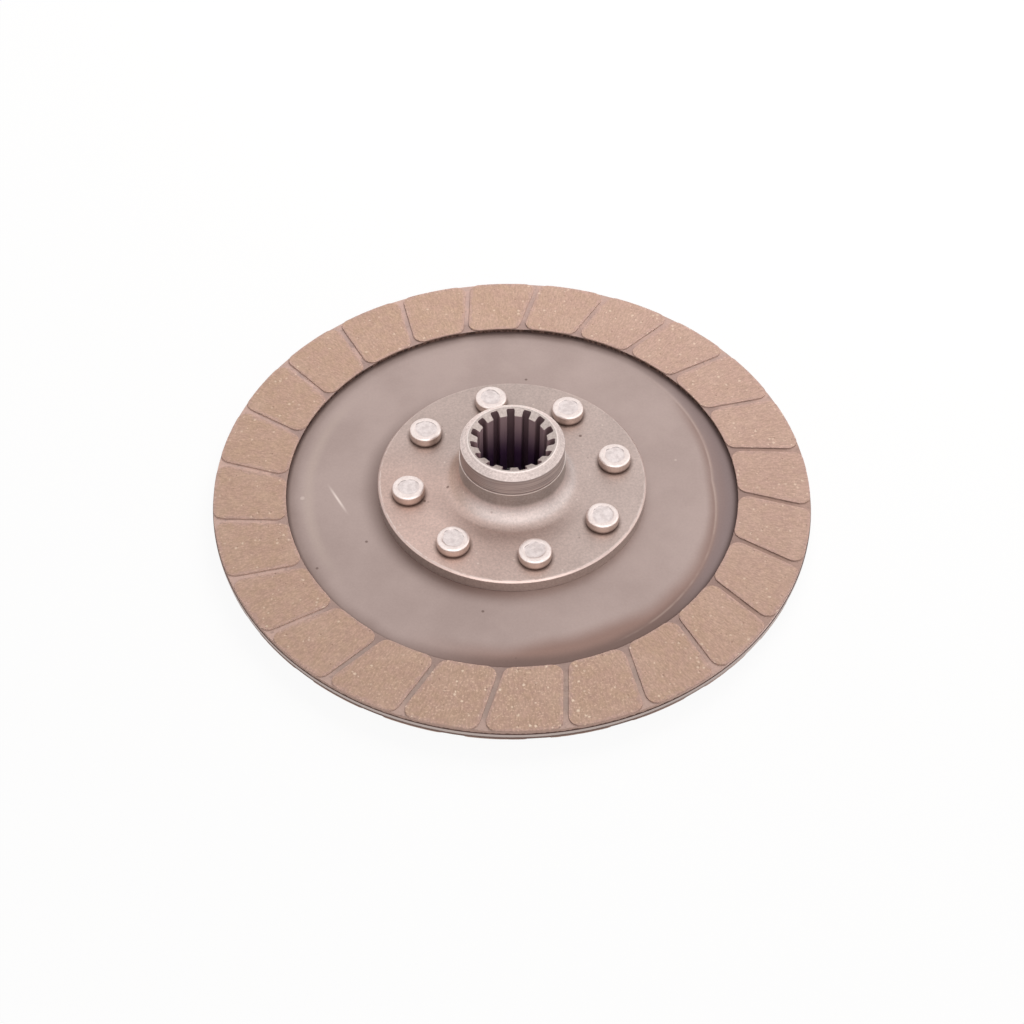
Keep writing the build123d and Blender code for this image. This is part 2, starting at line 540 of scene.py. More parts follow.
def rivet_rings(place, chance):
    """Rings of one set rivet from its rear head to the hammered middle of its front head."""
    head = rivet_head_diameter / 2
    shank = rivet_shank_diameter / 2
    drift = polar(rivet_dish_drift * chance.random(), 2 * pi * chance.random())
    oval = chance.uniform(*rivet_dish_ovals)
    oval_angle = 2 * pi * chance.random()
    dish = rivet_dish_radius * chance.uniform(*rivet_dish_spread)
    seat = place.to_3d()
    path = rounded([
        (rivet_ring_spacing, rivet_back, 0),
        (head, rivet_back, rivet_rim_radius),
        (head, plate_back, rivet_rear_foot_radius),
        (shank, plate_back, 0),
        (shank, flange_top, 0),
        (head, flange_top, rivet_foot_radius),
        (head, rivet_top, rivet_rim_radius),
        (rivet_ring_spacing, rivet_top, 0),
    ])
    crown_edge = path[-2].x
    steps = ceil(crown_edge / rivet_ring_spacing)
    crown = [Vector((crown_edge * (1 - i / steps), rivet_top)) for i in range(1, steps)]
    rings = []
    for spot in path[:-1] + crown:
        ring = []
        for point in circle(spot.x, spot.y, rivet_segments):
            if spot.y > flange_top:
                offset = point.xy - drift
                swing = cos(2 * (atan2(offset.y, offset.x) - oval_angle))
                ragged = rivet_dish_raggedness * unevenness(point + seat, rivet_dish_ragged_size)
                inside = (dish * (1 + oval * swing + ragged) - offset.length) / rivet_dish_slope
                sunk = min(1.0, max(0.0, inside))
                height = (point.z - flange_top) / (rivet_top - flange_top)
                marks = unevenness(point + seat, rivet_hammer_mark_size)
                point.z -= rivet_dish_depth * sunk * sunk * (3 - 2 * sunk)
                point.z -= rivet_hammer_marks * (1 + marks) * height
                point.xy *= 1 + rivet_runout * unevenness(point + seat, rivet_runout_size)
            ring.append(point + seat)
        rings.append(ring)
    return rings


def make_hub_rivets():
    chance = Random(rivet_seed)
    return skin("hub_rivets_mesh", [rivet_rings(place, chance) for place in rivet_places()], closed=False)


# Finishes


def srgb(red, green, blue):
    """A screen colour, 0 to 255, as the linear colour that shaders take."""
    def linear(value):
        share = value / 255
        return share / 12.92 if share <= 0.04045 else ((share + 0.055) / 1.055) ** 2.4
    return linear(red), linear(green), linear(blue), 1.0


def put(tree, socket, value):
    """Set a socket to a value, or link it to another socket."""
    if isinstance(value, bpy.types.NodeSocket):
        tree.links.new(value, socket)
    else:
        socket.default_value = value


def add_node(tree, kind, inputs, **settings):
    """A new shader node with its settings, and its inputs given by name or number."""
    node = tree.nodes.new(f"ShaderNode{kind}")
    for name, value in settings.items():
        setattr(node, name, value)
    for key, value in inputs.items():
        put(tree, node.inputs[key], value)
    return node


class Finish:
    """A material's nodes, with short calls for the sums that the finishes share. Lengths are millimetres."""

    def __init__(self, name):
        self.material = bpy.data.materials.new(name)
        self.material.use_nodes = True
        self.tree = self.material.node_tree
        self.shader = self.tree.nodes["Principled BSDF"]
        self.colour = None
        texture = add_node(self.tree, "TexCoord", {})
        _, self.facing_far, self.facing_up = self.split(texture.outputs["Normal"])
        inputs = {0: texture.outputs["Object"], 1: (1 / mm, 1 / mm, 1 / mm)}
        self.place = self.node("VectorMath", inputs, operation="MULTIPLY")
        self.x, self.y, self.z = self.split(self.place)
        self.radius = self.length(self.x, self.y)
        self.angle = self.math("ARCTAN2", self.y, self.x)

    def node(self, kind, inputs, **settings):
        """The first output of a new node."""
        return add_node(self.tree, kind, inputs, **settings).outputs[0]

    def math(self, operation, *values):
        return self.node("Math", dict(enumerate(values)), operation=operation)

    def plus(self, first, second):
        return self.math("ADD", first, second)

    def minus(self, first, second):
        return self.math("SUBTRACT", first, second)

    def share(self, value, part):
        return self.math("MULTIPLY", value, part)

    def line(self, value, slope, start):
        """A straight-line function of a value."""
        return self.math("MULTIPLY_ADD", value, slope, start)

    def size(self, value):
        """A value without its sign."""
        return self.math("ABSOLUTE", value)

    def length(self, x, y):
        """Length of the vector with two given components."""
        return self.math("SQRT", self.plus(self.share(x, x), self.share(y, y)))

    def split(self, vector):
        node = add_node(self.tree, "SeparateXYZ", {0: vector})
        return node.outputs[0], node.outputs[1], node.outputs[2]

    def join(self, x, y, z):
        return self.node("CombineXYZ", {0: x, 1: y, 2: z})

    def noise(self, size, detail=2.0, roughness=0.5, place=None):
        """Smooth noise from 0 to 1 whose blotches have about the given size."""
        inputs = {"Vector": place or self.place, "Scale": 1 / size, "Detail": detail, "Roughness": roughness}
        return self.node("TexNoise", inputs)

    def specks(self, spacing, size, share, place=None):
        """Round specks: 1 inside a speck, 0 outside. Only a share of the cells holds one."""
        least_extent = 0.3
        core = 0.55
        inputs = {"Vector": place or self.place, "Scale": 1 / spacing}
        cells = add_node(self.tree, "TexVoronoi", inputs)
        chance, extent, _ = self.split(cells.outputs["Color"])
        reach = self.share(self.plus(extent, least_extent), size / spacing)
        near = self.ramp(self.math("DIVIDE", cells.outputs["Distance"], reach), 1.0, core)
        return self.both(near, self.math("LESS_THAN", chance, share))

    def shaken(self, size, reach):
        """The place moved about at random, so that specks lose their round outline."""
        shift = add_node(self.tree, "TexNoise", {"Vector": self.place, "Scale": 1 / size})
        inputs = {0: shift.outputs["Color"], 1: (2 * reach, 2 * reach, 2 * reach), 2: self.place}
        return self.node("VectorMath", inputs, operation="MULTIPLY_ADD")

    def ramp(self, value, low, high):
        """0 at low, 1 at high, with a smooth rise between; low may be above high."""
        if low < high:
            limits = (low, high, 0.0, 1.0)
        else:
            limits = (high, low, 1.0, 0.0)
        inputs = dict(enumerate((value, *limits)))
        return self.node("MapRange", inputs, interpolation_type="SMOOTHSTEP")

    def band(self, value, middle, half_width):
        """1 at the middle of a band, falling to 0 at its edges."""
        return self.ramp(self.size(self.minus(value, middle)), half_width, 0.0)

    def toward(self, angle, low, high):
        """A ramp by the cosine of the turn round the axis from a direction: 1 along it, -1 opposite."""
        return self.ramp(self.math("COSINE", self.minus(self.angle, angle)), low, high)

    def both(self, first, *others):
        """Product of two or more masks."""
        for other in others:
            first = self.share(first, other)
        return first

    def spoke(self, angle, first, pitch):
        """Places along and across the nearest of a set of evenly spaced spokes."""
        turns = self.math("DIVIDE", self.minus(angle, first), pitch)
        local = self.share(self.minus(turns, self.math("ROUND", turns)), pitch)
        along = self.share(self.radius, self.math("COSINE", local))
        across = self.share(self.radius, self.math("SINE", local))
        return along, across

    def spot(self, place, radius):
        """1 inside a soft spot round a point in plan."""
        reach = self.length(self.minus(self.x, place[0]), self.minus(self.y, place[1]))
        return self.ramp(reach, radius, radius / 2)

    def scratch(self, start, end, half_width):
        """1 along a straight mark between two points in plan, fading at its ends."""
        course = Vector(end) - Vector(start)
        way = course.normalized()
        x = self.minus(self.x, start[0])
        y = self.minus(self.y, start[1])
        along = self.plus(self.share(x, way.x), self.share(y, way.y))
        across = self.minus(self.share(x, way.y), self.share(y, way.x))
        middle = course.length / 2
        return self.both(self.band(across, 0.0, half_width), self.band(along, middle, middle))

    def mix(self, factor, first, second):
        """A blend of two colours, each a socket or a screen colour of three numbers from 0 to 255."""
        node = add_node(self.tree, "Mix", {0: factor}, data_type="RGBA")
        sockets = [socket for socket in node.inputs if socket.type == "RGBA"]
        for socket, colour in zip(sockets, (first, second)):
            put(self.tree, socket, srgb(*colour) if isinstance(colour, tuple) else colour)
        return next(socket for socket in node.outputs if socket.type == "RGBA")

    def tint(self, colour, value, low, high):
        """A colour made darker or lighter: value 0 multiplies it by low, and 1 by high."""
        inputs = {0: colour, "Scale": self.line(value, high - low, low)}
        return self.node("VectorMath", inputs, operation="SCALE")

    def stain(self, mask, colour, amount=1.0):
        """Lay a colour over the finish where a mask is 1, at a given strength."""
        self.colour = self.mix(self.share(mask, amount), self.colour, colour)

    def tone(self, value, low, high):
        """Make the finish darker or lighter, as tint does."""
        self.colour = self.tint(self.colour, value, low, high)

    def bump(self, height, depth):
        """Relief of the given depth."""
        return self.node("Bump", {"Height": height, "Distance": depth * mm})

    def finished(self, **values):
        """The material with its colour set, and the shader's other sockets by name, with _ for a space."""
        put(self.tree, self.shader.inputs["Base Color"], self.colour)
        for name, value in values.items():
            put(self.tree, self.shader.inputs[name.replace("_", " ")], value)
        return self.material


def joint_distance(f):
    """Distance from the middle of the nearest slanted joint between pads, on either side of the disc."""
    front = f.math("SIGN", f.minus(f.z, rim_middle / mm))
    angle = f.share(f.angle, front)
    along, across = f.spoke(angle, pad_first_angle + pad_pitch / 2, pad_pitch)
    along = f.minus(along, facing_mean_radius / mm)
    slanted = f.plus(f.share(along, sin(pad_slant)), f.share(across, cos(pad_slant)))
    return f.size(slanted)


def rivet_distance(f):
    """Distance in plan from the axis of the nearest rivet."""
    along, across = f.spoke(f.angle, rivet_first_angle, 2 * pi / rivet_count)
    return f.length(f.minus(along, rivet_circle_radius / mm), across)


def height_over(f, level):
    """Height above a level of the front facing, or below the same level of the rear one."""
    from_middle = f.size(f.minus(f.z, rim_middle / mm))
    return f.minus(from_middle, (level - rim_middle) / mm)


def shade_pad_walls(f, from_outside, from_inside):
    """Pad walls painted paler on the left, on the far right and at the near outer corners (painted light
    against their shade), a dark line at their foot, and a sooty inner wall.
    """
    wall = f.ramp(f.size(f.facing_up), 0.75, 0.35)
    walls_painted_pale = f.math("MAXIMUM", f.toward(pale_joint_angle, 0.1, 0.7), f.toward(dull_joint_angle, 0.75, 0.95))
    corner = f.both(f.ramp(from_outside, 0.25, 0.6), f.ramp(from_outside, 4.5, 1.5))
    corner = f.both(corner, f.toward(near_angle, 0.75, 0.3))
    # Painted light: pad walls painted paler where they would lie in shade
    f.stain(f.both(wall, f.math("MAXIMUM", walls_painted_pale, corner)), (226, 196, 180), 0.6)
    foot = f.both(wall, f.ramp(height_over(f, backing_front), 0.32, 0.05))
    patchy = f.ramp(f.noise(7.0, 2.0), 0.36, 0.5)
    joint_foot = f.both(foot, patchy, f.ramp(from_outside, 0.5, 5.0), f.ramp(from_inside, 0.5, 2.0))
    f.stain(f.both(joint_foot, f.line(walls_painted_pale, -0.5, 0.8)), (112, 84, 74))
    f.stain(f.both(wall, f.ramp(from_inside, 0.6, 0.2)), (92, 68, 60), 0.4)


def friction_finish():
    """Tan compound: radial streaks, pink and straw mottling, cream flecks, pits and pink edges."""
    f = Finish("friction")
    mottle = f.noise(4.5, 3.0, 0.6)
    clouds = f.noise(13.0, 2.0)
    grain = f.noise(0.8, 3.0, 0.65)
    across = f.share(f.angle, 1.5 * facing_mean_radius / mm)
    streaks = f.noise(1.0, 3.0, 0.65, f.join(across, f.share(f.radius, 0.42), f.z))
    f.colour = f.mix(f.ramp(mottle, 0.35, 0.65), (192, 159, 143), (191, 160, 140))
    f.stain(f.ramp(clouds, 0.4, 0.7), (200, 170, 152), 0.5)
    f.stain(f.toward(pink_angle, 0.2, 0.95), (193, 163, 154), 0.35)
    from_joint = f.minus(joint_distance(f), pad_gap / 2 / mm)
    from_outside = f.minus(facing_outer_radius / mm, f.radius)
    from_inside = f.minus(f.radius, facing_inner_radius / mm)
    from_edge = f.math("MINIMUM", from_joint, f.math("MINIMUM", from_outside, from_inside))
    ragged = f.minus(from_edge, f.share(f.minus(f.noise(3.0, 3.0), 0.5), 4.4))
    f.stain(f.ramp(ragged, 1.7, 0.2), (193, 161, 152), 0.6)
    f.tone(f.ramp(streaks, 0.34, 0.66), 0.89, 1.07)
    f.tone(f.ramp(grain, 0.25, 0.75), 0.9, 1.07)
    clusters = f.ramp(f.noise(6.0, 2.0), 0.36, 0.52)
    sandy = f.toward(sandy_angle, 0.8, 0.98)
    sand = f.ramp(f.noise(0.8, 2.0, 0.6), 0.57, 0.69)
    sand = f.both(sand, f.line(sandy, 0.45, 0.18))
    f.stain(sand, (228, 201, 177))
    flecks = f.both(f.specks(2.1, 0.54, 0.5, f.shaken(0.5, 0.45)), clusters)
    flecks = f.both(flecks, f.line(sandy, 0.3, 0.5))
    f.stain(flecks, (242, 222, 200))
    pits = f.specks(2.1, 0.36, 0.35)
    f.stain(pits, (138, 106, 92), 0.5)
    shade_pad_walls(f, from_outside, from_inside)
    fibres = f.plus(f.share(streaks, 0.7), f.share(grain, 0.6))
    relief = f.minus(fibres, f.share(pits, 0.7))
    rough = f.line(grain, 0.2, 0.66)
    return f.finished(Roughness=rough, Specular_IOR_Level=0.3, Normal=f.bump(relief, 0.08))


def backing_finish():
    """Pinkish grey compound: a floor that changes round the ring, a dark inner wall, and an outer wall with
    a dark ragged foot, painted lighter away from the dark rim side (painted light) and painted dark on the
    rear ring's near left (painted shade).
    """
    f = Finish("backing")
    outside = facing_outer_radius / mm
    middle = facing_mean_radius / mm
    inside = facing_inner_radius / mm
    blotches = f.noise(9.0, 3.0)
    grain = f.noise(0.8, 2.0)
    f.colour = f.mix(f.ramp(blotches, 0.35, 0.65), (182, 157, 150), (204, 173, 162))
    near = f.toward(near_angle, 0.5, 0.95)
    f.stain(near, (160, 142, 132), 0.6)
    f.stain(f.toward(pale_joint_angle, 0.8, 0.97), (214, 182, 168), 0.5)
    f.stain(f.toward(dark_joint_angle, 0.72, 0.97), (150, 122, 110), 0.85)
    f.stain(f.toward(dull_joint_angle, 0.75, 0.95), (160, 134, 122), 0.35)
    outer_end = f.ramp(f.radius, outside - 8.0, outside - 2.5)
    outer_end = f.both(outer_end, f.line(near, 0.2, 0.32))
    f.stain(outer_end, (206, 176, 165))
    inner_end = f.ramp(f.radius, inside + 8.0, inside + 2.0)
    f.stain(inner_end, (156, 132, 126), 0.6)
    f.tone(f.ramp(grain, 0.2, 0.8), 0.92, 1.06)
    f.stain(f.ramp(f.noise(2.2, 3.0), 0.58, 0.7), (140, 118, 112), 0.4)
    wall = f.ramp(f.size(f.facing_up), 0.8, 0.3)
    outer_wall = f.both(wall, f.ramp(f.radius, middle, outside))
    dark_rim = f.toward(dark_rim_angle, 0.25, 0.75)
    raised = f.line(f.noise(1.6, 3.0), 1.4, -0.7)
    foot = f.both(f.ramp(f.plus(height_over(f, rim_front), raised), 0.5, 0.2), dark_rim)
    # Painted light: the outer wall is painted lighter away from the dark rim side
    plain = f.mix(dark_rim, (226, 198, 190), (192, 162, 150))
    f.stain(outer_wall, f.mix(f.share(foot, 0.9), plain, (84, 64, 58)))
    # Painted shade and light: the rear ring's outer wall is painted dark on the near left, under the plate's
    # edge, and light elsewhere
    rear_wall_light_and_shade = f.both(outer_wall, f.ramp(f.z, rim_front / mm, rim_back / mm))
    f.stain(rear_wall_light_and_shade, f.mix(dark_rim, (222, 204, 198), (88, 70, 64)), 0.7)
    inner_wall = f.both(wall, f.ramp(f.radius, middle, inside))
    soot = f.mix(f.ramp(f.noise(1.3, 3.0), 0.4, 0.65), (56, 39, 35), (120, 94, 84))
    f.stain(inner_wall, soot, 0.95)
    rough = f.line(grain, 0.2, 0.6)
    relief = f.plus(grain, f.share(blotches, 0.8))
    return f.finished(Roughness=rough, Specular_IOR_Level=0.3, Normal=f.bump(relief, 0.06))


def tint_and_shade_plate(f, step_inner, step_outer):
    """A pale patch on the left; a painted brown reflection and painted shade on the step towards the lower
    right; and painted shade that thickens all round towards the pads.
    """
    pale = f.both(f.band(f.radius, step_inner - 0.5, 3.5), f.toward(pi, 0.75, 1.0))
    f.stain(pale, (196, 177, 167), 0.45)
    reach = f.line(f.noise(18.0, 2.0), 3.0, f.minus(f.radius, 1.5))
    shaded_and_reflecting = f.toward(shade_and_reflection_angle, 0.15, 0.75)
    early = f.line(f.toward(brown_angle, 0.93, 1.0), 2.6, -0.6)
    # Painted reflection: a brown band where the step would mirror the facing
    brown = f.both(f.ramp(f.plus(reach, early), step_inner - 5.5, step_inner + 2.5), shaded_and_reflecting)
    f.stain(brown, (150, 121, 111), 0.9)
    # Painted shade that thickens all round towards the pads
    f.stain(f.ramp(reach, step_outer - 3.5, step_outer + 3.5), (124, 103, 96), 0.6)
    # Painted shade on the step's slope towards the lower right
    step_slope_shade = f.both(f.ramp(reach, step_inner + 0.5, step_outer), shaded_and_reflecting)
    grey = f.mix(f.toward(ridge_angle, 0.6, 1.0), (124, 103, 97), (144, 128, 127))
    f.stain(step_slope_shade, grey, 0.85)
    # Painted shade by the pads, strongest towards plate_tone_angle
    shade = f.both(f.ramp(reach, step_outer - 2.5, step_outer + 2.0), f.toward(plate_tone_angle, 0.3, 0.95))
    f.stain(shade, (120, 100, 95), 0.4)


def draw_ridge(f, step_inner):
    """A painted highlight along the plate's ridge on the right, with painted shade inside it and a greyer
    painted shade outside it.
    """
    swing = f.size(f.math("SINE", f.minus(f.angle, ridge_angle)))
    ridge = f.minus(f.radius, f.line(swing, ridge_sweep, step_inner - ridge_inset))
    # Painted shade on the slope outside the ridge
    shade_beyond_ridge = f.both(f.ramp(ridge, 0.2, 1.6), f.toward(ridge_angle, 0.55, 0.95))
    f.stain(shade_beyond_ridge, (149, 131, 129), 0.65)
    # Painted shade inside the ridge
    shade_inside_ridge = f.both(f.ramp(ridge, -3.8, -0.7), f.ramp(ridge, 0.0, -0.3), f.toward(ridge_angle, 0.8, 0.97))
    f.stain(shade_inside_ridge, (148, 122, 114), 0.45)
    uneven = f.line(f.ramp(f.noise(9.0, 2.0), 0.4, 0.6), 0.75, 0.25)
    lit = f.both(f.toward(ridge_lit_angle, 0.5, 0.8), uneven)
    # A thin painted shade just inside the painted highlight
    f.stain(f.both(f.band(ridge, -0.7, 0.7), lit), (148, 122, 114), 0.25)
    # Painted highlight along the ridge
    f.stain(f.both(f.band(ridge, 0.2, 0.65), lit), (196, 174, 164), 0.4)


def mark_plate(f):
    """Specks, smudges and a scratch on the front, scattered specks, and a clean outer edge."""
    front = f.ramp(f.facing_up, 0.3, 0.7)
    for place in plate_dark_specks:
        f.stain(f.both(f.spot(place, plate_dark_speck_radius), front), (108, 88, 82), 0.7)
    for place, radius in plate_smudges:
        f.stain(f.both(f.spot(place, radius), front), (214, 196, 188), 0.6)
    f.stain(f.both(f.scratch(*plate_scratch, plate_scratch_half_width), front), (238, 222, 214), 0.9)
    f.stain(f.specks(11.0, 0.5, 0.25), (120, 100, 94), 0.4)
    edge = f.ramp(f.radius, rim_radius / mm - 0.4, rim_radius / mm - 0.1)
    f.stain(f.both(edge, f.ramp(f.size(f.facing_up), 0.8, 0.4)), (188, 175, 170))


def plate_finish():
    """Satin sheet: soft clouds, painted shade and a painted brown reflection by the pads, a painted
    highlight along a ridge, a painted shadow round the hub, a scratch and specks.
    """
    f = Finish("plate_steel")
    clouds = f.noise(26.0, 3.0, 0.55)
    fine = f.noise(0.9, 3.0, 0.6)
    f.colour = f.mix(f.ramp(clouds, 0.3, 0.7), (177, 157, 151), (187, 167, 161))
    across = f.plus(f.share(f.x, cos(plate_tone_angle)), f.share(f.y, sin(plate_tone_angle)))
    f.tone(f.ramp(across, -80.0, 80.0), 0.96, 1.05)
    step_inner = plate_step_inner_radius / mm
    step_outer = plate_step_outer_radius / mm
    tint_and_shade_plate(f, step_inner, step_outer)
    draw_ridge(f, step_inner)
    # Painted shade at the foot of the backing ring's inner wall, where the plate is also rougher
    foot = f.ramp(f.radius, step_outer + 0.8, facing_inner_radius / mm)
    f.stain(foot, (92, 70, 64), 0.38)
    # Painted shadow next to the step on the right
    shadow = f.both(f.ramp(f.radius, step_outer - 0.3, step_outer + 2.6), f.toward(ridge_angle, 0.5, 0.9))
    f.stain(shadow, (84, 66, 63), 0.5)
    # Painted shadow on the plate round the hub's flange
    hub_shadow = f.ramp(f.radius, flange_radius / mm + 8.0, flange_radius / mm)
    f.stain(f.both(hub_shadow, f.toward(hub_shadow_angle, -0.3, 0.9)), (112, 92, 86), 0.6)
    f.tone(f.ramp(fine, 0.25, 0.75), 0.97, 1.03)
    mark_plate(f)
    rough = f.plus(f.line(clouds, 0.12, 0.36), f.share(fine, 0.08))
    return f.finished(Metallic=1.0, Roughness=f.line(foot, 0.2, rough), Normal=f.bump(fine, 0.01))


def forge_flange(f, grain):
    """Colours of the forged flange and of the root under the barrel, the root painted lighter where its
    highlight falls (painted highlight) and the flange painted darker next to the root (painted shade).
    Returns the mask of the root.
    """
    clouds = f.noise(14.0, 3.0, 0.55)
    f.colour = f.mix(f.ramp(f.x, 45.0, -45.0), (197, 178, 171), (205, 178, 168))
    f.stain(f.toward(dull_flange_angle, 0.3, 0.95), (187, 171, 165), 0.7)
    around_barrel = f.ramp(f.radius, flange_radius / mm - 8.0, forged_radius / mm)
    root = f.both(f.ramp(f.facing_up, 0.98, 0.8), around_barrel)
    # Painted highlight: the root is lighter and more neutral on the right and in the middle, warmer and
    # darker on the left
    root_colour_and_highlight = f.mix(f.ramp(f.x, -9.0, -25.0), (211, 200, 197), (184, 156, 141))
    f.stain(root, root_colour_and_highlight, 0.7)
    root_end = (forged_radius + barrel_root_radius) / mm
    beyond_root = f.ramp(f.radius, root_end - 1.0, root_end + 2.0)
    f.stain(f.both(f.toward(warm_flange_angle, 0.86, 1.0), beyond_root), (224, 196, 186), 0.45)
    # Painted shade on the flange next to the root's foot, on the near side
    shade_beside_root = f.both(f.band(f.radius, forged_radius / mm + 9.5, 6.0), f.toward(near_angle, 0.2, 0.9))
    f.stain(shade_beside_root, (158, 136, 128), 0.35)
    f.tone(f.ramp(clouds, 0.3, 0.7), 0.96, 1.04)
    f.tone(f.ramp(grain, 0.25, 0.75), 0.85, 1.12)
    return root


def mark_flange(f, grain):
    """Specks and dark marks, painted shadow round the rivets, the flange's wall, and its rubbed and worn
    edge.
    """
    f.stain(f.specks(4.0, 0.5, 0.25), (132, 108, 100), 0.45)
    f.stain(f.specks(2.6, 0.45, 0.35), (232, 216, 206), 0.5)
    for place, radius in hub_dark_marks:
        f.stain(f.spot(place, radius), (96, 72, 64), 0.65)
    seat = rivet_head_diameter / 2 / mm
    # Painted shadow on the flange round each rivet head
    rivet_shadow = f.both(f.ramp(rivet_distance(f), seat + 1.6, seat), f.ramp(f.facing_up, 0.7, 0.95))
    f.stain(rivet_shadow, (104, 82, 75), 0.6)
    forged_wall = f.mix(f.ramp(grain, 0.3, 0.7), (154, 145, 141), (172, 163, 158))
    forged_wall = f.tint(forged_wall, f.ramp(f.radius, 30.0, 45.0), 1.0, 1.22)
    f.stain(f.ramp(f.facing_up, 0.3, 0.05), forged_wall, 0.9)
    edge_radius = (flange_radius - flange_edge_chamfer) / mm
    edge_level = (flange_top - flange_edge_chamfer) / mm
    rubbed = f.both(f.band(f.radius, edge_radius - 0.1, 0.6), f.ramp(f.facing_up, 0.8, 0.95))
    rubbed = f.both(rubbed, f.ramp(f.noise(2.4, 3.0), 0.36, 0.56))
    rubbed = f.both(rubbed, f.line(f.toward(near_angle, -0.6, 0.3), 0.5, 0.25))
    f.stain(rubbed, (234, 217, 210))
    worn = f.ramp(f.radius, edge_radius - 0.2, edge_radius + 0.1)
    worn = f.both(worn, f.ramp(f.z, edge_level - 0.1, edge_level + 0.2))
    worn = f.both(worn, f.line(f.ramp(f.noise(5.0, 3.0), 0.35, 0.6), 0.5, 0.5))
    f.stain(worn, (214, 192, 185))


def turn_barrel(f, lines):
    """Lathe lines on the turned part of the barrel, painted lighter on the right and darker on the left
    (painted light and shade), and the relief at its foot, with painted shade in its groove and a painted
    highlight on its step. Returns its mask.
    """
    foot = turned_foot / mm
    barrel = barrel_radius / mm
    turned = f.ramp(f.z, foot, foot + 0.1)
    cut = f.mix(f.ramp(lines, 0.3, 0.7), (152, 142, 140), (190, 179, 175))
    # Painted light and shade: lighter on the right, darker and warmer on the left
    cut = f.tint(cut, f.ramp(f.x, -barrel, barrel), 0.93, 1.12)
    cut = f.mix(f.share(f.ramp(f.x, -0.4 * barrel, -barrel), 0.5), cut, (158, 130, 121))
    f.stain(turned, cut)
    # Painted shade in the relief groove
    groove = f.both(f.band(f.z, foot + 0.25, 0.35), f.ramp(f.radius, barrel - 1.0, barrel - 0.5))
    f.stain(groove, (96, 80, 76), 0.8)
    # Painted highlight on the relief's step
    step = f.both(f.band(f.z, foot - 0.1, 0.25), f.ramp(f.radius, barrel - 0.1, barrel + 0.1))
    f.stain(step, (246, 235, 230))
    return turned


def turn_lip(f, grain, lines):
    """The bright chamfer at the barrel's end, painted darker towards the near side and the right and much
    lighter towards the far side (painted light and shade), its brighter inner edge, and the mouth of the
    bore.
    """
    barrel = barrel_radius / mm
    lip_foot = (hub_top - barrel_lip_chamfer_height) / mm
    lip_edge = lip_radius / mm
    lip = f.both(f.ramp(f.z, lip_foot - 0.05, lip_foot + 0.1), f.ramp(f.facing_up, 0.4, 0.7))
    cut = f.mix(f.ramp(grain, 0.3, 0.7), (203, 187, 182), (232, 217, 212))
    cut = f.tint(cut, f.ramp(lines, 0.35, 0.65), 0.93, 1.06)
    # Painted light and shade on the chamfer: darker towards the near side, much lighter towards the far
    # side, a little darker towards the right
    cut = f.tint(cut, f.ramp(f.y, -barrel, 0.0), 0.88, 1.02)
    cut = f.tint(cut, f.ramp(f.y, 0.0, barrel), 1.0, 1.42)
    cut = f.tint(cut, f.ramp(f.x, 0.0, barrel), 1.0, 0.94)
    f.stain(lip, cut)
    mouth = f.both(lip, f.ramp(f.radius, lip_edge + 0.05, lip_edge - 0.15))
    f.stain(mouth, f.mix(f.ramp(grain, 0.3, 0.7), (184, 169, 163), (212, 198, 192)))
    f.stain(f.both(lip, f.band(f.radius, lip_edge + 0.1, 0.4)), (248, 236, 231), 0.8)


def darken_bore(f):
    """A bore painted darker with depth and in its grooves (painted shade). Returns its mask."""
    minor = spline_minor_radius / mm
    major = spline_major_radius / mm
    depth = f.minus(hub_top / mm, f.z)
    # Painted shade: darker with depth, and darker again in the grooves
    bore = f.mix(f.ramp(depth, 3.0, 23.0), (186, 158, 162), (84, 52, 92))
    in_groove = f.ramp(f.radius, minor + 0.3, minor + 1.4)
    bore = f.mix(f.share(in_groove, 0.6), bore, (92, 70, 72))
    upright = f.ramp(f.size(f.facing_up), 0.6, 0.3)
    inside = f.both(f.ramp(f.radius, major + 0.2, major + 0.05), upright)
    f.stain(inside, bore)
    return inside


def hub_finish():
    """Forged steel with a coarse grain, a turned barrel with lathe lines, a bright lip and a dark bore, with
    painted light and shade on the root, barrel, lip and bore, and painted shadow round the rivets.
    """
    f = Finish("hub_steel")
    grain = f.noise(0.9, 4.0, 0.7)
    lines = f.noise(1.0, 2.0, 0.7, f.join(f.share(f.angle, 0.4), f.share(f.radius, 2.2), f.share(f.z, 2.2)))
    root = forge_flange(f, grain)
    mark_flange(f, grain)
    turned = turn_barrel(f, lines)
    turn_lip(f, grain, lines)
    inside = darken_bore(f)
    rough = f.line(grain, 0.14, f.line(root, 0.13, 0.36))
    forged_relief = f.both(grain, f.minus(1.0, turned))
    relief = f.plus(forged_relief, f.share(f.both(lines, turned), 0.5))
    metal = f.line(inside, -0.8, 1.0)
    return f.finished(Metallic=metal, Roughness=rough, Normal=f.bump(relief, 0.06))


